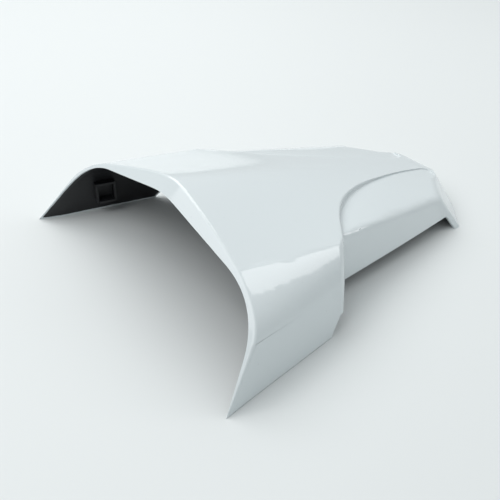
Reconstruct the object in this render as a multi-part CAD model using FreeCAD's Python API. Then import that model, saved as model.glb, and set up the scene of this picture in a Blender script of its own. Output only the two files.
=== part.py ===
import FreeCAD, Part
import math
import os
from FreeCAD import Vector

# Motorcycle tail fairing: one moulded ABS shell, mirrored about the plane X = 0.
# Millimetres. X to the right, Y from the front tips to the tail, Z up.
# The shell stands on its two front tips and on the lower edge of its tail.
# Y runs from the tips while the shell is made, and the origin moves under its middle at the end.

# The wall and the height of the ridge line
wall = 2.8
ridge_y = 50.0
ridge_z = 79.0
tail_y = 292.0
tail_z = 21.8

# The roof: its sideways slope fades from the front to the tail
roof_slope_front = 14.7
roof_level_y = 262.0
roof_bow = 0.9
ridge_round = 8.0
shoulder_half = 87.8

# The wings: from the shoulder crease down to the bottom edge
tip_half = 135.0
heel_closing = 19.8
heel_y = 98.5
waist_share = 0.56
waist_tuck = 4.5
waist_close = 0.022
shoulder_angle = 20.5
waist_lean = 20.0
wing_fade_y = 110.0
wing_fade_run = 30.0
section_gap = 30.0

# The tail body: a lower, narrower shell behind the wings
crease_front_half = 80.1
crease_front_y = 134.2
crease_front_z = 44.8
crease_rear_half = 58.7
crease_rear_y = 249.4
crease_rear_z = 26.8
crease_round = 3.0
sink_front = 12.0
sink_rear = 0.9
skirt_front_half = 84.3
skirt_rear_half = 70.2
skirt_rear_y = 262.0

# The step between crown and tail body, seen from above: it runs on from the wings' rear edges
trail_out = 15.3
trail_run = 18.5
step_knee_half = 72.2
step_knee_y = 136.8
step_hip_half = 51.0
step_hip_y = 155.0
step_neck_half = 34.0
step_neck_y = 181.0
step_waist_half = 22.0
step_waist_y = 218.0
step_tail_half = 14.2
step_tail_y = 260.0
step_end_half = 12.6
flare_radius = 6.0
flare_y = 284.5

# The rear wall: a blunt arrow in plan, leaning outward to the floor
nose_low_y = 302.5
nose_low_radius = 77.0
nose_high_y = 291.2
nose_high_radius = 39.0
nose_high_z = 25.0
nose_sweep = 40.0

# The rolled lip round the front opening
lip_apex_y = -73.0
lip_apex_z = -40.0
lip_bend_gap = 20.0
lip_bend_z = 60.4
lip_crest_z = 78.0
lip_outer_share = 1.5
lip_outer_slope = 16.5
mouth_apex_y = 380.0
mouth_crest_z = 79.2
mouth_bow = 0.5
mouth_shoulder_out = 0.2
mouth_shoulder_z = 63.0
mouth_corner_gap = 7.1
mouth_corner_z = 54.5
mouth_side_gap = 3.7
mouth_side_z = 22.0

# The free lower edge of the tail body
edge_z = 10.7
edge_front_gap = 12.0
edge_rear_y = 255.5
heel_cut = 4.2
heel_radius = 9.0
knee_radius = 4.0

# Clip sockets moulded inside both wings
socket_y = 52.5
socket_z = 18.8
socket_length = 16.5
socket_height = 16.5
socket_depth = 6.5
socket_rim = 1.9
socket_ledge = 2.0

# Screw bosses under the roof
boss_half = 46.0
boss_y = 92.0
boss_radius = 5.0
boss_tip_z = 38.0
pilot_radius = 2.0
pilot_depth = 12.0
gusset_reach = 9.0
gusset_thickness = 1.8
gusset_start = 6.0

# How far the working solids reach past the shell
reach = 20.0


def mirrored(points):
    return [(-x, z) for x, z in reversed(points)]


def inset_line(points, start, inset):
    """Shift an open line of (x, z) points inward, square to its legs."""
    chain = [start] + points
    moved = []
    for index in range(1, len(chain)):
        before = chain[index - 1]
        here = chain[index]
        after = chain[index + 1] if index + 1 < len(chain) else None
        angle_in = math.atan2(here[1] - before[1], here[0] - before[0])
        angle_out = angle_in if after is None else math.atan2(after[1] - here[1], after[0] - here[0])
        half_turn = (angle_out - angle_in) / 2
        middle = angle_in + half_turn
        length = inset / math.cos(half_turn)
        moved.append((here[0] + length * math.sin(middle), here[1] - length * math.cos(middle)))
    return moved


def spline(points, degree):
    curve = Part.BSplineCurve()
    curve.buildFromPoles([Vector(*point) for point in points], False, degree)
    return curve.toShape()


def line(start, end):
    return Part.LineSegment(Vector(*start), Vector(*end)).toShape()


def ridge_height(y):
    return ridge_z + (tail_z - ridge_z) * (y - ridge_y) / (tail_y - ridge_y)


def roof_slope(y):
    share = (roof_level_y - y) / (roof_level_y - ridge_y)
    return math.radians(roof_slope_front) * max(share, 0.0)


def wing_run(y):
    """Length over which the wings close in; it fades out where the crown takes over."""
    if y < wing_fade_y:
        return y
    return wing_fade_y + wing_fade_run * (1 - math.exp((wing_fade_y - y) / wing_fade_run))


def wing_section(y, inset, floor):
    """Half section of roof, shoulder and side, as control points from the ridge outward."""
    crest = ridge_height(y)
    slope = math.tan(roof_slope(y))
    shoulder_z = crest - shoulder_half * slope
    middle = shoulder_half / 2
    bottom = tip_half - heel_closing * wing_run(y) / heel_y
    waist_z = waist_share * shoulder_z
    waist = bottom - waist_tuck - waist_close * wing_run(y)
    start_angle = math.radians(shoulder_angle)
    lean = math.radians(waist_lean)
    # the shoulder's control point is where its two end tangents cross
    gap_x = waist - shoulder_half
    gap_z = shoulder_z - waist_z
    along = (gap_z - gap_x / math.tan(lean)) / (math.tan(start_angle) - 1 / math.tan(lean))
    corner = (shoulder_half + along, shoulder_z - along * math.tan(start_angle))
    side_slope = (bottom - waist) / waist_z
    points = [
        (ridge_round, crest),
        (middle, crest - (middle - ridge_round / 2) * slope * roof_bow),
        (shoulder_half, shoulder_z),
        corner,
        (waist, waist_z),
        (bottom - side_slope * floor, floor),
    ]
    return inset_line(points, (0, crest), inset) if inset else points


def wing_wire(y, inset, floor):
    half = wing_section(y, inset, floor)
    half[-1] = (half[-1][0], floor)
    whole = [(x, y, z) for x, z in mirrored(half) + half]
    count = len(half)
    return Part.Wire([
        line(whole[0], whole[1]),
        spline(whole[1:4], 2),
        spline(whole[3:2 * count - 3], 2),
        spline(whole[-4:-1], 2),
        line(whole[-2], whole[-1]),
        line(whole[-1], whole[0]),
    ])


def wing_body(inset, floor):
    """Solid under the roof and between the wings, from the tips past the tail."""
    end = nose_low_y + reach
    stations = [section_gap * (index - 0.5) for index in range(6)]
    stations += [step_neck_y, (step_neck_y + end) / 2, end]
    return Part.makeLoft([wing_wire(y, inset, floor) for y in stations], True, False)


def tail_section(y, inset, floor):
    share = (y - crease_front_y) / (crease_rear_y - crease_front_y)
    crease = crease_front_half + (crease_rear_half - crease_front_half) * share
    crease_z = crease_front_z + (crease_rear_z - crease_front_z) * share
    left = (tail_y - y) / (tail_y - crease_front_y)
    crest = ridge_height(y) - sink_rear - (sink_front - sink_rear) * left ** 3
    low_share = (y - crease_front_y) / (skirt_rear_y - crease_front_y)
    skirt = skirt_front_half + (skirt_rear_half - skirt_front_half) * low_share
    side_slope = (skirt - crease) / crease_z
    points = [(0, 2 * crest - crease_z), (crease, crease_z), (skirt - side_slope * floor, floor)]
    if not inset:
        return points
    moved = inset_line(points[1:], points[0], inset)
    return [(0, points[0][1] - inset)] + moved


def towards(start, end, distance):
    """Point at a distance from start on the way to end."""
    start, end = Vector(*start), Vector(*end)
    return tuple(start + (end - start).normalize() * distance)


def tail_wire(y, inset, floor):
    half = tail_section(y, inset, floor)
    half[-1] = (half[-1][0], floor)
    top, crease, skirt = [(x, y, z) for x, z in half]
    round_start = towards(crease, top, crease_round - inset / 2)
    round_end = towards(crease, skirt, crease_round - inset / 2)
    right = [top, round_start, crease, round_end, skirt]
    left = [(-x, y, z) for x, y, z in right]
    return Part.Wire([
        line(left[4], left[3]),
        spline([left[3], left[2], left[1]], 2),
        spline([left[1], top, right[1]], 2),
        spline([right[1], right[2], right[3]], 2),
        line(right[3], right[4]),
        line(right[4], left[4]),
    ])


def tail_body(inset, floor):
    """Solid under the lower shell behind the wings."""
    start = crease_front_y - reach + inset
    run = nose_low_y + reach - start
    stations = [start + run * index / 5 for index in range(6)]
    return Part.makeLoft([tail_wire(y, inset, floor) for y in stations], True, False)


def plan_prism(inset):
    """Upright prism on the plan outline of wings and crown: the wall of the step."""
    heel_half = tip_half - heel_closing
    points = [
        (heel_half + trail_out, heel_y - trail_run),
        (heel_half - trail_out, heel_y + trail_run),
        (step_knee_half, step_knee_y),
        (step_hip_half, step_hip_y),
        (step_neck_half, step_neck_y),
        (step_waist_half, step_waist_y),
        (step_tail_half, step_tail_y),
        (step_end_half, flare_y - flare_radius),
    ]
    if inset:
        start = (2 * points[0][0] - points[1][0], 2 * points[0][1] - points[1][1])
        points = [(x, y) for x, y in inset_line(points, start, -inset)]
    outline = Part.BSplineCurve()
    outline.interpolate([Vector(x, y, 0) for x, y in points])
    curve = outline.toShape()
    first = Vector(points[0][0], points[0][1], 0)
    last = Vector(points[-1][0], points[-1][1], 0)
    turn = flare_radius + inset
    centre = last + Vector(turn, 0, 0)
    middle = centre + Vector(-1, 1, 0).normalize() * turn
    end = centre + Vector(0, turn, 0)
    flare = Part.Arc(last, middle, end).toShape()
    side = tip_half + reach
    front = -2 * reach
    back = nose_low_y + reach
    right = [
        Part.makeLine(Vector(side, front, 0), Vector(side, first.y, 0)),
        Part.makeLine(Vector(side, first.y, 0), first),
        curve,
        flare,
        Part.makeLine(end, Vector(side, end.y, 0)),
        Part.makeLine(Vector(side, end.y, 0), Vector(side, back, 0)),
    ]
    left = [edge.mirror(Vector(0, 0, 0), Vector(1, 0, 0)) for edge in right]
    across = [
        Part.makeLine(Vector(-side, front, 0), Vector(side, front, 0)),
        Part.makeLine(Vector(-side, back, 0), Vector(side, back, 0)),
    ]
    outline = Part.Wire(Part.__sortEdges__(right + left + across))
    prism = Part.Face(outline).extrude(Vector(0, 0, ridge_z + 2 * reach))
    prism.translate(Vector(0, 0, -reach))
    return prism


def nose_wire(z, inset):
    """Plan outline behind the rear wall at one height, closed round the back."""
    share = z / nose_high_z
    nose = nose_low_y + (nose_high_y - nose_low_y) * share - inset
    radius = nose_low_radius + (nose_high_radius - nose_low_radius) * share - inset
    sweep = math.radians(nose_sweep)
    apex = nose + radius * (1 / math.cos(sweep) - 1)
    touch = radius * math.sin(sweep)
    touch_y = nose - radius * (1 - math.cos(sweep))
    side = tip_half
    side_y = apex - side * math.tan(sweep)
    back = nose_low_y + 3 * reach
    return Part.Wire([
        line((-side, side_y, z), (-touch, touch_y, z)),
        Part.Arc(Vector(-touch, touch_y, z), Vector(0, nose, z), Vector(touch, touch_y, z)).toShape(),
        line((touch, touch_y, z), (side, side_y, z)),
        line((side, side_y, z), (side, back, z)),
        line((side, back, z), (-side, back, z)),
        line((-side, back, z), (-side, side_y, z)),
    ])


def behind_rear_wall(inset):
    wires = [nose_wire(-reach, inset), nose_wire(nose_high_z + reach / 2, inset)]
    return Part.makeLoft(wires, True, True)


def cone_wire(points, y, apex_y, apex_z, base_y):
    """A flat half profile, drawn at base_y, scaled about an apex to the plane at y."""
    scale = (y - apex_y) / (base_y - apex_y)
    return [(x * scale, y, apex_z + (z - apex_z) * scale) for x, z in points]


def lip_wire(y, inset):
    drop = math.tan(math.radians(lip_outer_slope))
    lip_bend_half = tip_half - lip_bend_gap
    lip_outer_half = lip_bend_half * lip_outer_share
    end_half = 2 * tip_half
    half = [
        (ridge_round, lip_crest_z - inset),
        (lip_bend_half / 2, (lip_crest_z + lip_bend_z) / 2 - inset),
        (lip_bend_half, lip_bend_z - inset),
        (lip_outer_half, lip_bend_z - (lip_outer_half - lip_bend_half) * drop - inset),
        (end_half, lip_bend_z - (end_half - lip_bend_half) * drop - inset),
    ]
    right = cone_wire(half, y, lip_apex_y + inset, lip_apex_z, ridge_y + inset)
    left = [(-x, py, z) for x, py, z in reversed(right)]
    low = lip_apex_z - tip_half
    return Part.Wire([
        spline(left + right, 2),
        line(right[-1], (right[-1][0], y, low)),
        line((right[-1][0], y, low), (left[0][0], y, low)),
        line((left[0][0], y, low), left[0]),
    ])


def behind_lip(inset):
    """Cone behind the bevelled face of the rolled lip."""
    wires = [lip_wire(-reach, inset), lip_wire(nose_low_y + reach, inset)]
    return Part.makeLoft(wires, True, True)


def mouth_wire(y):
    low = -reach
    mouth_half = shoulder_half + mouth_shoulder_out
    side_lean = mouth_side_gap / mouth_side_z
    half = [
        (ridge_round, mouth_crest_z),
        (mouth_half / 2, (mouth_crest_z + mouth_shoulder_z) / 2 + mouth_bow),
        (mouth_half, mouth_shoulder_z),
        (tip_half - mouth_corner_gap, mouth_corner_z),
        (tip_half - mouth_side_gap, mouth_side_z),
        (tip_half - side_lean * low, low),
    ]
    right = cone_wire(half, y, mouth_apex_y, 0, 0)
    left = [(-x, py, z) for x, py, z in reversed(right)]
    return Part.Wire([
        line(left[0], left[1]),
        spline(left[1:4], 2),
        spline(left[3:] + right[:3], 2),
        spline(right[2:5], 2),
        line(right[4], right[5]),
        line(right[5], left[0]),
    ])


def mouth():
    """Space of the front opening, inside the free edge of the lip."""
    return Part.makeLoft([mouth_wire(-reach), mouth_wire(ridge_y + reach / 2)], True, True)


def rounded(points, radii):
    """Closed flat outline through the points, with its corners rounded."""
    edges = []
    starts = []
    count = len(points)
    for index in range(count):
        here = points[index]
        back = (points[index - 1] - here).normalize()
        ahead = (points[(index + 1) % count] - here).normalize()
        radius = radii[index]
        if radius:
            half_angle = back.getAngle(ahead) / 2
            run = radius / math.tan(half_angle)
            centre = here + (back + ahead).normalize() * (radius / math.sin(half_angle))
            middle = centre + (here - centre).normalize() * radius
            edges.append(Part.Arc(here + back * run, middle, here + ahead * run).toShape())
            starts.append((here + back * run, here + ahead * run))
        else:
            starts.append((here, here))
    for index in range(count):
        edges.append(Part.makeLine(starts[index][1], starts[(index + 1) % count][0]))
    return Part.Wire(Part.__sortEdges__(edges))


def below_edge():
    """Space under the free lower edge, from the wing heels to the tail."""
    wide = tip_half + reach
    start = heel_y - heel_cut
    points = [
        Vector(-wide, start - heel_radius / 2, -reach),
        Vector(-wide, start, 0),
        Vector(-wide, start + edge_front_gap, edge_z),
        Vector(-wide, edge_rear_y, edge_z),
        Vector(-wide, skirt_rear_y, 0),
        Vector(-wide, skirt_rear_y, -reach),
    ]
    outline = rounded(points, [0, heel_radius, knee_radius, knee_radius, 0, 0])
    return Part.Face(outline).extrude(Vector(2 * wide, 0, 0))


def side_half(y, z):
    """Half width of the outer skin low on the wing."""
    section = wing_section(y, 0, 0)
    waist, waist_z = section[-2]
    bottom = section[-1][0]
    return bottom + (waist - bottom) * z / waist_z


def clip_socket():
    """Open-fronted box inside the right wing, with a deeper ledge under its window."""
    root = side_half(socket_y, socket_z)
    depth = socket_depth + wall
    length = socket_length - 2 * socket_rim
    height = socket_height - 2 * socket_rim
    corner = Vector(-depth, -socket_length / 2, 0)
    block = Part.makeBox(depth + wall, socket_length, socket_height, corner)
    corner = Vector(-depth, -length / 2, socket_rim)
    window = Part.makeBox(socket_depth, length, height, corner)
    corner = Vector(-depth - socket_ledge, -length / 2, 0)
    ledge = Part.makeBox(socket_ledge + wall, length, socket_rim, corner)
    body = block.cut(window).fuse(ledge)
    angle = math.degrees(math.atan2(heel_closing, heel_y))
    body.rotate(Vector(0, 0, 0), Vector(0, 0, 1), angle)
    body.translate(Vector(root, socket_y, socket_z - socket_height / 2))
    return body


def screw_boss():
    """Round boss under the right side of the roof, with four gussets and a blind pilot hole."""
    height = ridge_z - boss_tip_z
    boss = Part.makeCylinder(boss_radius, height, Vector(0, 0, 0))
    corner = Vector(-gusset_reach, -gusset_thickness / 2, gusset_start)
    for turn in (0, 90):
        gusset = Part.makeBox(2 * gusset_reach, gusset_thickness, height, corner)
        gusset.rotate(Vector(0, 0, 0), Vector(0, 0, 1), turn)
        boss = boss.fuse(gusset)
    boss = boss.cut(Part.makeCylinder(pilot_radius, pilot_depth, Vector(0, 0, 0)))
    boss.translate(Vector(boss_half, boss_y, boss_tip_z))
    return boss


def skin(inset, floor):
    """Solid inside the skin of the fairing, moved inward by inset."""
    crown = wing_body(inset, floor).common(plan_prism(inset))
    whole = crown.fuse(tail_body(inset, floor))
    whole = whole.cut(behind_rear_wall(inset))
    return whole.common(behind_lip(inset))


def fairing():
    shell = skin(0, 0).cut(skin(wall, -reach / 2))
    shell = shell.cut(mouth())
    shell = shell.cut(below_edge())
    rooted = skin(wall / 2, -reach / 2)
    for feature in (clip_socket(), screw_boss()):
        right = feature.common(rooted)
        left = right.mirror(Vector(0, 0, 0), Vector(1, 0, 0))
        shell = shell.fuse(right).fuse(left)
    return shell


def write(shape, name):
    os.makedirs("parts", exist_ok=True)
    shape.exportStep(os.path.join("parts", name + ".step"))
    box = shape.optimalBoundingBox(False)
    print(name, "solids", len(shape.Solids), "valid", shape.isValid(), "volume", round(shape.Volume))
    print("size", round(box.XLength, 1), round(box.YLength, 1), round(box.ZLength, 1))


shell = fairing()
middle = shell.optimalBoundingBox(False).Center
shell.translate(Vector(0, -middle.y, 0))
write(shell, "tail_fairing")
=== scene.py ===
# %% [markdown]
# # Tail fairing
# The object is one shell of moulded ABS that covers the rear of a motorcycle's seat frame.
# Outside it is painted gloss white. Inside it is left as it comes from the mould: black.
# The solid is already made, so this lesson gives it soft rims, its two finishes, and a studio.

# %% Load the solid
import math
import bmesh
import bpy
import numpy as np
from mathutils import Matrix, Vector
from mathutils.bvhtree import BVHTree
from mathutils.geometry import barycentric_transform
from mathutils.kdtree import KDTree


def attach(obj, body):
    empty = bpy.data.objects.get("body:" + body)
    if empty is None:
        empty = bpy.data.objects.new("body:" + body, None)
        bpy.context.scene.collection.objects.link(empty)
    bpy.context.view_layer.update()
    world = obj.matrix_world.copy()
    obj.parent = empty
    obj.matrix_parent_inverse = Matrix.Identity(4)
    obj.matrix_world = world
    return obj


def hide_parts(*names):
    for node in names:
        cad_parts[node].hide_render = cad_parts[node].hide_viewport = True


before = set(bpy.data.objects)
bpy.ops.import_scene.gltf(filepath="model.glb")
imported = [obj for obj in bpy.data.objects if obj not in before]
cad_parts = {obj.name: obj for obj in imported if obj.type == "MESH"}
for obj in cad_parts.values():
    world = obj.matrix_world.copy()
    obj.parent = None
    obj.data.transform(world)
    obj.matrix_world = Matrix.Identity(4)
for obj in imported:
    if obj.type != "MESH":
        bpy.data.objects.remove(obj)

bpy.context.view_layer.update()
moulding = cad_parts["tail_fairing"]

# %% [markdown]
# ## Colours and nodes
# A colour picked from a screen is an sRGB hex value, and a renderer wants linear light,
# so one function turns the first into the second. Another small function adds a shader
# node, sets its values and joins its inputs. All materials below are made of calls to it.

# %% Two small helpers
MM = 0.001


def linear(code):
    """Linear colour from an sRGB hex value such as "808080"."""
    parts = [int(code[i:i + 2], 16) / 255 for i in (0, 2, 4)]
    curve = [v / 12.92 if v <= 0.04045 else ((v + 0.055) / 1.055) ** 2.4 for v in parts]
    return (*curve, 1.0)


def add_node(tree, kind, settings=None, **inputs):
    """Adds a node; settings are its properties, inputs are values or outputs to join.

    An input is named by its label, with _ for a space, or by i and its number.
    """
    node = tree.nodes.new("ShaderNode" + kind)
    for key, value in (settings or {}).items():
        setattr(node, key, value)
    for key, value in inputs.items():
        name = key.replace("_", " ")
        socket = node.inputs[int(name[1:]) if name[1:].isdigit() else name]
        if isinstance(value, bpy.types.NodeSocket):
            tree.links.new(value, socket)
        else:
            socket.default_value = value
    return node


print("a middle grey in linear light:", [round(v, 3) for v in linear("808080")[:3]])

# %% [markdown]
# ## The shell
# A moulding has no knife edges: the tool is rounded where the plastic must flow and where
# a hand may touch. The solid has these places sharp, as the meeting of two smooth faces.
# A bevel modifier needs long tidy faces, and these are thin triangles, so the rims are
# rounded as a ball would do it: the ball rolls along the edge inside the corner, and each
# point near the edge is drawn in to the ball's skin.
# First the mesh is copied and welded. Creases part it into smooth regions, such as the
# crown, a side of the tail or the rear wall, and each face learns the number of its own.

# %% Copy the solid and find its regions
EDGE_ANGLE = math.radians(22)
WELD_GAP = 0.002 * MM
SLIVER_GAP = 0.004 * MM

shell_mesh = moulding.data.copy()
shell = bpy.data.objects.new("moulded_shell", shell_mesh)
bpy.context.scene.collection.objects.link(shell)
work = bmesh.new()
work.from_mesh(shell_mesh)
bmesh.ops.remove_doubles(work, verts=work.verts, dist=WELD_GAP)
bmesh.ops.dissolve_degenerate(work, edges=work.edges, dist=SLIVER_GAP)
bmesh.ops.triangulate(work, faces=work.faces)


def is_crease(edge):
    """True where two faces meet at a visible angle."""
    return len(edge.link_faces) == 2 and edge.calc_face_angle(0) > EDGE_ANGLE


def face_regions(mesh):
    """Number of the smooth region that each face lies in, for regions parted by creases."""
    region = [-1] * len(mesh.faces)
    mesh.faces.ensure_lookup_table()
    mesh.faces.index_update()
    count = 0
    for start in mesh.faces:
        if region[start.index] >= 0:
            continue
        region[start.index] = count
        queue = [start]
        while queue:
            face = queue.pop()
            for edge in face.edges:
                if is_crease(edge):
                    continue
                for other in edge.link_faces:
                    if region[other.index] < 0:
                        region[other.index] = count
                        queue.append(other)
        count += 1
    return region, count


regions, region_count = face_regions(work)
region_layer = work.faces.layers.int.new("region")
for face in work.faces:
    face[region_layer] = regions[face.index]
print("welded to", len(work.verts), "points and", region_count, "regions")

# %% [markdown]
# Paint is sprayed from outside, so a region is painted where a line straight out of it
# leaves the shell and doesn't lead across the hollow. Some faces of each region vote on
# that. The free lower edges are narrow strips that look down: the spray just reaches round
# them. Bosses and clip sockets count with the hollow. What a painted region is, such as
# the lip or the rear wall, is told by its mean direction, whose parts go from -1 to 1.

# %% Tell the outside from the hollow
SMALL_REGION = 200 * MM * MM
STRIP_REGION = 1500 * MM * MM
VOTERS = 15
CORE_HEIGHT = 6 * MM
RAY_START = 0.05 * MM
INTO_HOLLOW = -0.3
DOWNWARD = -0.8
FORWARD = -0.3
BACKWARD = 0.3
RIGHT_BACK = 0.6
LEVEL = 0.15


def looks_out(face):
    """True where a line out of the face meets nothing and leads away from the hollow."""
    point = face.calc_center_median()
    away = (point - Vector((0, point.y, CORE_HEIGHT))).normalized()
    hit = search.ray_cast(point + face.normal * RAY_START, face.normal)[0]
    return hit is None and face.normal.dot(away) > INTO_HOLLOW


search = BVHTree.FromBMesh(work)
members = [[] for _ in range(region_count)]
for face in work.faces:
    members[face[region_layer]].append(face)
outside = set()
upright = set()
front_lip = set()
lower_edges = set()
rear_wall = -1
for number, faces in enumerate(members):
    area = sum(face.calc_area() for face in faces)
    facing = sum((face.normal * face.calc_area() for face in faces), Vector()) / area
    if area < SMALL_REGION:
        continue
    if facing.z < DOWNWARD:
        if area < STRIP_REGION:
            lower_edges.add(number)
        continue
    voters = faces[::max(1, len(faces) // VOTERS)]
    if 2 * sum(looks_out(face) for face in voters) <= len(voters):
        continue
    outside.add(number)
    if abs(facing.z) < LEVEL and facing.y > BACKWARD:
        upright.add(number)
    elif facing.y > RIGHT_BACK:
        rear_wall = number
    elif facing.y < FORWARD:
        front_lip.add(number)
print("outside:", sorted(outside), "walls of the step:", sorted(upright))
print("lip:", front_lip, "rear wall:", rear_wall, "lower edges:", sorted(lower_edges))

# %% [markdown]
# The solid came with the true directions of its curved faces, stored at the corners of its
# triangles. They are kept aside here: new points that are cut into a triangle will take
# their direction from them, and the shine will run smoothly across. The outside needs
# this, and so does the largest region of the hollow. The rest can do with flat faces.

# %% Keep the directions of the curved faces
SAME_WAY = 0.85

cad_mesh = moulding.data
corner_normals = np.array([tuple(corner.vector) for corner in cad_mesh.corner_normals])
cad_points = [vert.co.copy() for vert in cad_mesh.vertices]
cad_faces = [tuple(face.vertices) for face in cad_mesh.polygons]
cad_region = [regions[search.find_nearest(face.center)[2]] for face in cad_mesh.polygons]
hollow_regions = [number for number in range(region_count) if number not in outside]
main_hollow = max(hollow_regions, key=lambda number: len(members[number]))
region_search = {}
for number in outside | {main_hollow}:
    rows = [index for index, region in enumerate(cad_region) if region == number]
    faces = [cad_faces[row] for row in rows]
    region_search[number] = (BVHTree.FromPolygons(cad_points, faces), rows)


def true_direction(point, number, fallback):
    """Direction of the curved face of a region at a point."""
    if number not in region_search:
        return fallback
    finder, rows = region_search[number]
    place, _, index, _ = finder.find_nearest(point)
    row = rows[index]
    corners = [cad_points[vertex] for vertex in cad_faces[row]]
    shares = barycentric_transform(
        place, *corners, Vector((1, 0, 0)), Vector((0, 1, 0)), Vector((0, 0, 1))
    )
    parts = [Vector(corner_normals[3 * row + k]) * max(shares[k], 0.0) for k in range(3)]
    mixed = sum(parts, Vector())
    return mixed.normalized() if mixed.dot(fallback) > SAME_WAY else fallback


print("directions kept for", len(region_search), "regions")

# %% [markdown]
# ## How round each rim is
# The edge of the step and the rear wall's corners are generously rounded. The low ends of
# those corners, the outer edge of the front lip and the lower edges are rounded less. The
# foot of the step is a hollow rounding, like the neck of a bottle. The lip's free edge
# stays sharp, as do all the creases inside the hollow.

# %% Choose the radius of each rim
LIP_ROUND = 2.4 * MM
WING_ROUND = 12.0 * MM
REAR_ROUND = 15.0 * MM
CREASE_ROUND = 4.0 * MM
FOOT_ROUND = 15.0 * MM
LOW_CORNER = 9 * MM


def wished_radius(pair, is_outward, height):
    """Radius that the tool gives the rim between two regions, at a height."""
    both_outside = outside >= set(pair)
    if not is_outward:
        return FOOT_ROUND if both_outside else 0.0
    if front_lip & set(pair) and not both_outside:
        return 0.0
    if upright & set(pair):
        return WING_ROUND
    if rear_wall in pair and height > LOW_CORNER:
        return REAR_ROUND
    return CREASE_ROUND if rear_wall in pair and both_outside else LIP_ROUND


def rim_pair(edge):
    """The two regions at an edge, or None where it isn't a rim of the outside."""
    if not is_crease(edge):
        return None
    pair = tuple(sorted(face[region_layer] for face in edge.link_faces))
    if pair[0] == pair[1] or not outside & set(pair):
        return None
    return pair


rims = {rim_pair(edge) for edge in work.edges} - {None}
print("rims between", len(rims), "pairs of regions")

# %% [markdown]
# A rounding needs points to bend. Long edges near the rims are halved until none is longer
# than 1.45 mm, and the rest of the mesh stays as it is. The tail also has long soft bends,
# which aren't creases: the skin beside them is cut as fine, for its shine. The tail is what
# lies behind the middle of the shell, or low between the wings.

# %% Cut the mesh finer beside the rims and bends
SAMPLE_GAP = 1.5 * MM
BAND_MOST = 6 * MM
BAND_SPARE = 1 * MM
BEND_BAND = 8.0 * MM
BEND_ANGLE = math.radians(4)
TAIL_HALF = 88 * MM
TAIL_TOP = 46 * MM
STEP = 1.45 * MM
LENGTH_SHARE = 0.3
MOST_TURNS = 9


def point_tree(points):
    """Search tree of points."""
    found = KDTree(len(points))
    for number, point in enumerate(points):
        found.insert(point, number)
    found.balance()
    return found


def middle_of(edge):
    """Middle of an edge."""
    return (edge.verts[0].co + edge.verts[1].co) / 2


def along(edge, gap):
    """Points along an edge, no further apart than gap."""
    start, end = (vert.co for vert in edge.verts)
    count = max(1, math.ceil((end - start).length / gap))
    return [start.lerp(end, (k + 0.5) / count) for k in range(count)]


def is_tail_bend(edge):
    """True on a soft bend of the tail, within one region of the outside."""
    numbers = {face[region_layer] for face in edge.link_faces}
    if len(numbers) > 1 or not numbers <= outside or edge.calc_face_angle(0) <= BEND_ANGLE:
        return False
    middle = middle_of(edge)
    return middle.y > 0 or abs(middle.x) < TAIL_HALF and middle.z < TAIL_TOP


rim_points = []
rim_bands = []
for edge in work.edges:
    pair = rim_pair(edge)
    if pair is None:
        continue
    for point in along(edge, SAMPLE_GAP):
        radius = wished_radius(pair, edge.is_convex, point.z)
        if radius:
            rim_points.append(point)
            rim_bands.append(min(radius, BAND_MOST) + BAND_SPARE)
bends = [point for edge in work.edges if is_tail_bend(edge) for point in along(edge, SAMPLE_GAP)]
near_rim = point_tree(rim_points + bends)
bands = rim_bands + [BEND_BAND] * len(bends)
for turn in range(MOST_TURNS):
    long_edges = []
    for edge in work.edges:
        length = edge.calc_length()
        if length > STEP:
            _, number, gap = near_rim.find(middle_of(edge))
            if gap < bands[number] + length * LENGTH_SHARE:
                long_edges.append(edge)
    if not long_edges:
        break
    bmesh.ops.subdivide_edges(work, edges=long_edges, cuts=1)
    bmesh.ops.triangulate(work, faces=[face for face in work.faces if len(face.verts) > 3])
print("cut to", len(work.verts), "points and", len(work.faces), "faces in", turn, "turns")

# %% [markdown]
# Each rim now gets samples with the directions of its two faces. The ball can't be larger
# than the faces beside it allow, so the distance to the next crease is measured: it is
# short on the low end of the step, on the edges of the 2.8 mm wall, and towards the tips.

# %% Sample the rims
ACROSS_SHARE = 0.7
WIDTH_SEARCH = 20 * MM
OPEN_WIDTH = 50 * MM


def crease_samples(mesh):
    """Samples of all creases, by the pair of regions and by outward or inward."""
    found = {}
    for edge in mesh.edges:
        if not is_crease(edge):
            continue
        faces = sorted(edge.link_faces, key=lambda face: face[region_layer])
        pair = tuple(face[region_layer] for face in faces)
        if pair[0] == pair[1]:
            continue
        start, end = (vert.co for vert in edge.verts)
        middle = (start + end) / 2
        first, second = (
            true_direction(middle, face[region_layer], face.normal.copy()) for face in faces
        )
        sample = (middle, (end - start).normalized(), first, second)
        found.setdefault((pair, edge.is_convex), []).append(sample)
    return found


def free_width(pair, points, runs):
    """Distance from each sample, across its rim, to the nearest other crease."""
    others = [
        sample[0] for other, group in chains.items()
        if other[0] != pair and set(other[0]) & set(pair) for sample in group
    ]
    width = np.full(len(points), OPEN_WIDTH)
    if not others:
        return width
    finder = point_tree(others)
    for number, point in enumerate(points):
        for place, _, gap in finder.find_range(Vector(point), WIDTH_SEARCH):
            step = np.array(place) - point
            across = np.linalg.norm(step - runs[number] * step.dot(runs[number]))
            if across > ACROSS_SHARE * gap:
                width[number] = min(width[number], gap)
    return width


chains = crease_samples(work)
print("samples of creases:", sum(len(found) for found in chains.values()))

# %% [markdown]
# The ball's radius is the one that the rim would be moulded with, or what the width allows,
# evened out along the rim. The step's edge and foot lose a little all along, so that they
# are sharp where the step is low. The rear wall's rounding fades out over a centimetre
# towards the place where the step runs into it. A chain of very few samples is only a
# stray sliver, and is left as it is.

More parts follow.
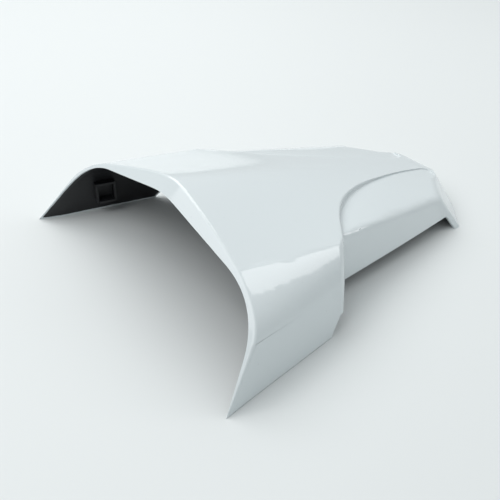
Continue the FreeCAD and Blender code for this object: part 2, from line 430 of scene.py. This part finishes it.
# %% Measure the rims
NARROW_SHARE = 0.46
FEWEST_SAMPLES = 12
RADIUS_BLUR = 9 * MM
DIRECTION_BLUR = 1.5 * MM
LEAST_TANGENT = 0.1
LOW_STEP = 0.8 * MM
FLARE_FADE = 10 * MM
SHARP_SHARE = 0.3


def smoothed(points, values, radius):
    """Values averaged over the samples within a radius."""
    finder = point_tree([Vector(point) for point in points])
    result = np.empty_like(values)
    for number, point in enumerate(points):
        near = [found[1] for found in finder.find_range(Vector(point), radius)]
        result[number] = values[near].mean(axis=0)
    return result


def mean_direction(points, values):
    """Directions averaged over their close neighbours, of length one."""
    mixed = smoothed(points, np.array(values), DIRECTION_BLUR)
    return mixed / np.linalg.norm(mixed, axis=1)[:, None]


flare_ends = point_tree([
    sample[0] for (pair, _), found in chains.items()
    if rear_wall in pair and upright & set(pair) for sample in found
])
rim_data = {}
for (pair, is_outward), found in chains.items():
    if not outside & set(pair) or len(found) < FEWEST_SAMPLES:
        continue
    places, runs, first, second = zip(*found)
    points = np.array(places)
    wish = np.array([wished_radius(pair, is_outward, point[2]) for point in points])
    if not wish.any():
        continue
    first = mean_direction(points, first)
    second = mean_direction(points, second)
    half = np.arccos(np.clip((first * second).sum(axis=1), -1, 1)) / 2
    width = free_width(pair, points, np.array(runs))
    limit = NARROW_SHARE * width / np.maximum(np.tan(half), LEAST_TANGENT)
    radius = np.minimum(smoothed(points, np.minimum(wish, limit), RADIUS_BLUR), limit)
    if upright & set(pair):
        radius = np.maximum(radius - LOW_STEP, 0)
    elif rear_wall in pair and outside >= set(pair):
        gaps = np.array([flare_ends.find(Vector(point))[2] for point in points])
        radius = radius * np.clip(gaps / FLARE_FADE - SHARP_SHARE, 0, 1)
    rim_data[pair, is_outward] = (points, first, second, half, radius)
    kind = "outward" if is_outward else "inward"
    print(pair, kind, len(points), "samples, radius up to", round(radius.max() / MM, 1), "mm")

# %% [markdown]
# The ball's middle lies one radius from both faces: under an outward rim, or in front of an
# inward one. A point of a face that is nearer to the rim than the ball's line of touch
# moves straight towards the middle until it lies on the ball. There the skin also faces
# along the ball's spoke, which is what makes the highlight on the rim. Where two rims meet,
# a point gets a move from each, and their sum is kept from reaching too far.

# %% Roll the ball along the rims
CORNER_SHARE = 1.2
LEAST_RADIUS = 0.15 * MM
LEAST_WEIGHT = 1e-6
NOTHING = 1e-9


def touch_ball(point, rim, first, second, half, radius):
    """Move of a point on to the ball, and the ball's spoke there, or None out of reach."""
    run = Vector(np.cross(first, second)).normalized()
    rim += run * (point - rim).dot(run)
    middle = rim - Vector(first + second) * (radius / (1 + math.cos(2 * half)))
    spoke = point - middle
    spoke -= run * spoke.dot(run)
    ball = abs(radius)
    if (point - rim).length >= ball * math.tan(half) or spoke.length <= ball:
        return None
    return spoke * (ball / spoke.length - 1), spoke.normalized()


shift = {}
spokes = {}
for (pair, is_outward), (points, first, second, half, radius) in rim_data.items():
    side = 1 if is_outward else -1
    finder = point_tree([Vector(point) for point in points])
    reach = max(radius * np.tan(half)) + STEP
    faces = [face for face in work.faces if face[region_layer] in pair]
    for vert in {vert for face in faces for vert in face.verts}:
        _, k, gap = finder.find(vert.co)
        if gap > reach or radius[k] < LEAST_RADIUS:
            continue
        rim = Vector(points[k])
        touch = touch_ball(vert.co, rim, first[k], second[k], half[k], side * radius[k])
        if touch is None:
            continue
        move, spoke = touch
        shift.setdefault(vert, []).append(move)
        spokes.setdefault(vert, []).append((pair, spoke * side * (move.length + LEAST_WEIGHT)))
base_point = {vert: vert.co.copy() for vert in work.verts}
for vert, moves in shift.items():
    total = sum(moves, Vector())
    limit = max(move.length for move in moves) * CORNER_SHARE
    vert.co += total * min(1.0, limit / max(total.length, NOTHING))
for vert in work.verts:
    vert.co.z = max(vert.co.z, 0.0)
largest = max(move.length for moves in shift.values() for move in moves)
print("rounded", len(shift), "points by up to", round(largest / MM, 2), "mm")

# %% [markdown]
# The painter's spray reaches round the free edges, so the hollow is white for about a
# millimetre beside them. Each point of the hollow keeps its distance to the painted skin,
# and the material turns that into a soft, uneven line.

# %% Measure the distance to the paint
sprayed = outside | lower_edges
painted = {vert for face in work.faces if face[region_layer] in sprayed for vert in face.verts}
hollow = {vert for face in work.faces if face[region_layer] not in sprayed for vert in face.verts}
border = point_tree([base_point[vert] for vert in painted & hollow])
work.verts.index_update()
from_paint = np.zeros(len(work.verts))
for vert in hollow - painted:
    from_paint[vert.index] = border.find(base_point[vert])[2] / MM
for face in work.faces:
    face.smooth = True
    face.material_index = 0 if face[region_layer] in sprayed else 1
hollow_faces = sum(face.material_index for face in work.faces)
work.normal_update()
print(hollow_faces, "faces in the hollow, up to", round(from_paint.max()), "mm from the paint")

# %% [markdown]
# The tail's long creases are soft bends, some 10 mm wide on the real shell. The solid has
# them tighter, so the directions beside them are averaged over a few millimetres: the
# shine then fades across the bend, as on the real paint, and has no hard line.

# %% Soften the directions beside the tail's bends
BEND_BLUR = 5.0 * MM

near_bend = point_tree(bends)
bend_skin = {}
for vert in work.verts:
    if near_bend.find(base_point[vert])[2] < BEND_BAND + BEND_BLUR:
        for number in {face[region_layer] for face in vert.link_faces} & outside:
            direction = true_direction(base_point[vert], number, vert.normal)
            bend_skin.setdefault(number, []).append((base_point[vert], direction))
bend_finders = {
    number: point_tree([point for point, _ in skin]) for number, skin in bend_skin.items()
}


def blurred_direction(point, number):
    """Average direction of one region's skin round a point beside a bend."""
    total = Vector()
    for _, row, gap in bend_finders[number].find_range(point, BEND_BLUR):
        total += bend_skin[number][row][1] * (1 - gap / BEND_BLUR)
    return total.normalized()


print("skin points beside the bends:", sum(len(skin) for skin in bend_skin.values()))

# %% [markdown]
# Now every corner of every face gets its direction: the ball's where the ball has been, the
# softened one beside a bend, and else the true one of the curved face. Where no ball has
# been, two regions that meet keep a direction each, and the crease between them stays crisp.

# %% Choose the directions of the skin
first_face = {}
for face in work.faces:
    for vert in face.verts:
        first_face.setdefault((vert, face[region_layer]), face)


def skin_direction(vert, number):
    """Direction of a region's skin at a point."""
    found = [spoke for pair, spoke in spokes.get(vert, ()) if number in pair]
    if found:
        return sum(found, Vector()).normalized()
    point = base_point[vert]
    if number in outside and near_bend.find(point)[2] < BEND_BAND:
        return blurred_direction(point, number)
    return true_direction(point, number, first_face[vert, number].normal.copy())


known = {key: tuple(skin_direction(*key)) for key in first_face}
directions = [known[vert, face[region_layer]] for face in work.faces for vert in face.verts]
print("directions:", len(known), "for", len(directions), "corners of faces")

# %% [markdown]
# The finished mesh goes back into the shell, which takes the place of the plain solid. The
# solid itself stays for the physics. The two finishes are only named here, and get their
# nodes below.

# %% Finish the shell
shell_mesh.materials.clear()
gloss_paint = bpy.data.materials.new("gloss_painted_abs")
black_abs = bpy.data.materials.new("black_moulded_abs")
for finish in (gloss_paint, black_abs):
    shell_mesh.materials.append(finish)
work.to_mesh(shell_mesh)
work.free()
shell_mesh.normals_split_custom_set(directions)
distance = shell_mesh.attributes.new("mm_from_paint", "FLOAT", "POINT")
distance.data.foreach_set("value", from_paint.astype(np.float32))
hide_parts("tail_fairing")
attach(shell, "root")
print("shell:", len(shell_mesh.vertices), "points,", len(shell_mesh.polygons), "faces")

# %% [markdown]
# ## Gloss paint on ABS
# The outside is a cool white two-stage paint on sanded ABS: a flat colour coat and a clear
# coat. Sprayed clear coat dries with a faint ripple, called orange peel, with waves about
# 3 mm long and a few micrometres high. It hardly bends the light, and it is why a
# reflection's edge on paint is never quite straight. The moulding under it sinks and swells
# a little too, in waves some centimetres long. A few dust nibs lie under the coat, each
# under a millimetre wide.

# %% Gloss painted ABS
PAINT_COLOUR = linear("dbe3e5")
DUST_COLOUR = linear("aeb5b5")
PEEL_WAVE_MM = 3.0
PEEL_HEIGHT_MM = 0.004
SAG_WAVE_MM = 28.0
SAG_HEIGHT_MM = 0.05
NIB_GAP_MM = 9.0


def empty_tree(material):
    """The material's node tree, emptied, and the socket for its surface."""
    material.use_nodes = True
    material.node_tree.nodes.clear()
    output = add_node(material.node_tree, "OutputMaterial")
    return material.node_tree, output.inputs["Surface"]


def waves_per_metre(wave_mm):
    """Scale of a noise texture in metres whose waves have this length."""
    return 1 / (wave_mm * MM)


def paint_shader(tree):
    """Gloss white paint; returns its shader output."""
    place = add_node(tree, "TexCoord").outputs["Object"]
    sag = add_node(tree, "TexNoise", Vector=place, Scale=waves_per_metre(SAG_WAVE_MM), Detail=1.0)
    peel = add_node(tree, "TexNoise", Vector=place, Scale=waves_per_metre(PEEL_WAVE_MM), Detail=1.5)
    low = add_node(
        tree, "Bump", Height=sag.outputs["Fac"], Strength=1.0, Distance=SAG_HEIGHT_MM * MM,
    )
    bump = add_node(
        tree, "Bump", Height=peel.outputs["Fac"], Strength=1.0, Distance=PEEL_HEIGHT_MM * MM,
        Normal=low.outputs["Normal"],
    )
    cells = add_node(
        tree, "TexVoronoi", Vector=place, Scale=waves_per_metre(NIB_GAP_MM), Randomness=1.0,
    )
    nib = add_node(
        tree, "MapRange", {"clamp": True}, Value=cells.outputs["Distance"],
        From_Min=0.025, From_Max=0.05, To_Min=0.35, To_Max=0.0,
    )
    colour = add_node(
        tree, "Mix", {"data_type": "RGBA"}, i0=nib.outputs["Result"], i6=PAINT_COLOUR, i7=DUST_COLOUR,
    )
    paint = add_node(
        tree, "BsdfPrincipled", Base_Color=colour.outputs[2], Roughness=0.42, IOR=1.5,
        Coat_Weight=1.0, Coat_Roughness=0.06, Coat_IOR=1.5,
        Normal=low.outputs["Normal"], Coat_Normal=bump.outputs["Normal"],
    )
    return paint.outputs["BSDF"]


tree_paint, surface = empty_tree(gloss_paint)
tree_paint.links.new(paint_shader(tree_paint), surface)
print("paint nodes:", len(tree_paint.nodes))

# %% [markdown]
# ## Bare moulded ABS
# The hollow is black ABS as it leaves the mould. The mould's core is only spark-eroded and
# not polished, so the plastic has a fine matt grain, about 0.3 mm from pit to pit, and a
# satin shine. Grain that fine hardly shows here, so it is drawn 0.8 mm wide. Patches of
# haze make the black a little grey, as dust and handling do.

# %% Black moulded ABS
ABS_COLOUR = linear("17181b")
HAZE_COLOUR = linear("2b2e31")
GRAIN_MM = 0.8
GRAIN_HEIGHT_MM = 0.02
HAZE_PATCH_MM = 40

tree_abs, surface = empty_tree(black_abs)
place = add_node(tree_abs, "TexCoord").outputs["Object"]
grain = add_node(tree_abs, "TexNoise", Vector=place, Scale=waves_per_metre(GRAIN_MM), Detail=2.0)
bump = add_node(
    tree_abs, "Bump", Height=grain.outputs["Fac"], Strength=1.0, Distance=GRAIN_HEIGHT_MM * MM,
)
haze = add_node(
    tree_abs, "TexNoise", Vector=place, Scale=waves_per_metre(HAZE_PATCH_MM), Detail=3.0,
)
haze_share = add_node(
    tree_abs, "MapRange", {"clamp": True}, Value=haze.outputs["Fac"],
    From_Min=0.45, From_Max=0.75, To_Min=0.0, To_Max=0.5,
)
colour = add_node(
    tree_abs, "Mix", {"data_type": "RGBA"},
    i0=haze_share.outputs["Result"], i6=ABS_COLOUR, i7=HAZE_COLOUR,
)
plastic = add_node(
    tree_abs, "BsdfPrincipled", Base_Color=colour.outputs[2], Roughness=0.46, IOR=1.54,
    Normal=bump.outputs["Normal"],
)
print("plastic nodes:", len(tree_abs.nodes))

# %% [markdown]
# The paint that reached round the free edges lies over the plastic. Its border is drawn
# where the kept distance, made uneven by a noise, passes the width of the wrap.

# %% Paint wrapped round the free edges
WRAP_MM = 1.2
WRAP_SOFT_MM = 0.25
RAGGED_WAVE_MM = 7
RAGGED_SWING_MM = 0.8

edge_noise = add_node(
    tree_abs, "TexNoise", Vector=place, Scale=waves_per_metre(RAGGED_WAVE_MM), Detail=2.0,
)
ragged = add_node(
    tree_abs, "Math", {"operation": "MULTIPLY_ADD"},
    i0=edge_noise.outputs["Fac"], i1=RAGGED_SWING_MM, i2=-RAGGED_SWING_MM / 2,
)
gap = add_node(tree_abs, "Attribute", {"attribute_name": "mm_from_paint"})
edge_gap = add_node(
    tree_abs, "Math", {"operation": "ADD"}, i0=gap.outputs["Fac"], i1=ragged.outputs["Value"],
)
cover = add_node(
    tree_abs, "MapRange", {"clamp": True}, Value=edge_gap.outputs["Value"],
    From_Min=WRAP_MM - WRAP_SOFT_MM, From_Max=WRAP_MM + WRAP_SOFT_MM, To_Min=0.0, To_Max=1.0,
)
finish = add_node(
    tree_abs, "MixShader",
    i0=cover.outputs["Result"], i1=paint_shader(tree_abs), i2=plastic.outputs["BSDF"],
)
tree_abs.links.new(finish.outputs["Shader"], surface)
print("plastic nodes with the wrapped paint:", len(tree_abs.nodes))

# %% [markdown]
# ## The studio
# The shell lies on a pale matt table, large enough to fill the view.

# %% Table
FLOOR_COLOUR = linear("dde1e1")
TABLE_HALF = 4

signs = [(-1, -1), (1, -1), (1, 1), (-1, 1)]
corners = [(x * TABLE_HALF, y * TABLE_HALF, 0) for x, y in signs]
table_mesh = bpy.data.meshes.new("table")
table_mesh.from_pydata(corners, [], [(0, 1, 2, 3)])
table = bpy.data.objects.new("table", table_mesh)
bpy.context.scene.collection.objects.link(table)
table_finish = bpy.data.materials.new("matt_white_table")
tree_table, surface = empty_tree(table_finish)
board = add_node(
    tree_table, "BsdfPrincipled", Base_Color=FLOOR_COLOUR, Roughness=0.55, IOR=1.45,
)
tree_table.links.new(board.outputs["BSDF"], surface)
table_mesh.materials.append(table_finish)
print("table:", 2 * TABLE_HALF, "m wide")

# %% [markdown]
# Paint shows its gloss by what it mirrors. A long narrow soft box behind the shell gives
# the bright band on the near shoulder, and the band's hard lower border is the box's own
# edge. Two wide soft boxes, left and in front, and a pale room fill the rest. Their
# strengths were set together, by the brightness of the paint, the hollow and the table.

# %% Light
ROOM_COLOUR = linear("eef3f5")
ROOM_STRENGTH = 0.49

world = bpy.data.worlds.new("soft_room")
bpy.context.scene.world = world
world.use_nodes = True
room = world.node_tree.nodes["Background"]
room.inputs["Color"].default_value = ROOM_COLOUR
room.inputs["Strength"].default_value = ROOM_STRENGTH


def soft_box(name, place, target, size, watts, roll=0):
    """Rectangular lamp at a place, turned to a target and rolled by degrees."""
    lamp = bpy.data.lights.new(name, "AREA")
    lamp.shape = "RECTANGLE"
    lamp.size, lamp.size_y = size
    lamp.energy = watts
    box = bpy.data.objects.new(name, lamp)
    box.location = place
    aim = (Vector(target) - Vector(place)).to_track_quat("-Z", "Y").to_matrix()
    box.rotation_euler = (aim @ Matrix.Rotation(math.radians(roll), 3, "Z")).to_euler()
    bpy.context.scene.collection.objects.link(box)
    print(name, size, "m,", watts, "W")


soft_box("soft_box_behind", (0.285, 0.985, 0.87), (0.325, -0.085, 0.085), (1.2, 0.31), 3.3, 47)
soft_box("soft_box_left", (-1.1, 0.2, 1.3), (0, 0, 0), (1.6, 1.2), 16)
soft_box("soft_box_front", (-0.3, -1.0, 1.3), (0, 0, 0), (1.6, 1.2), 10.7)

# %% [markdown]
# ## The camera
# The photograph looks down on the near front corner with a fairly long lens. Mirror pairs
# on the shell, such as its two front tips, give the camera's place and lens. Its matrix
# is made of three directions, right and up in the picture and back to the camera, and of
# the place where it stands.

# %% Camera
LENS_MM = 54
SENSOR_MM = 36
STAND = Vector((0.388, -0.3152, 0.3088))

camera = bpy.data.cameras.new("camera")
camera.lens = LENS_MM
camera.sensor_width = SENSOR_MM
viewer = bpy.data.objects.new("camera", camera)
bpy.context.scene.collection.objects.link(viewer)
back = Vector((0.68278, -0.48702, 0.54464)).normalized()
right = Vector((0.58070, 0.81412, 0)).normalized()
up = back.cross(right).normalized()
rows = [(right[k], up[k], back[k], STAND[k]) for k in range(3)]
viewer.matrix_world = Matrix(rows + [(0, 0, 0, 1)])
bpy.context.scene.camera = viewer
bpy.context.scene.view_settings.view_transform = "Standard"
print("camera", [round(v, 3) for v in STAND], "lens", camera.lens)
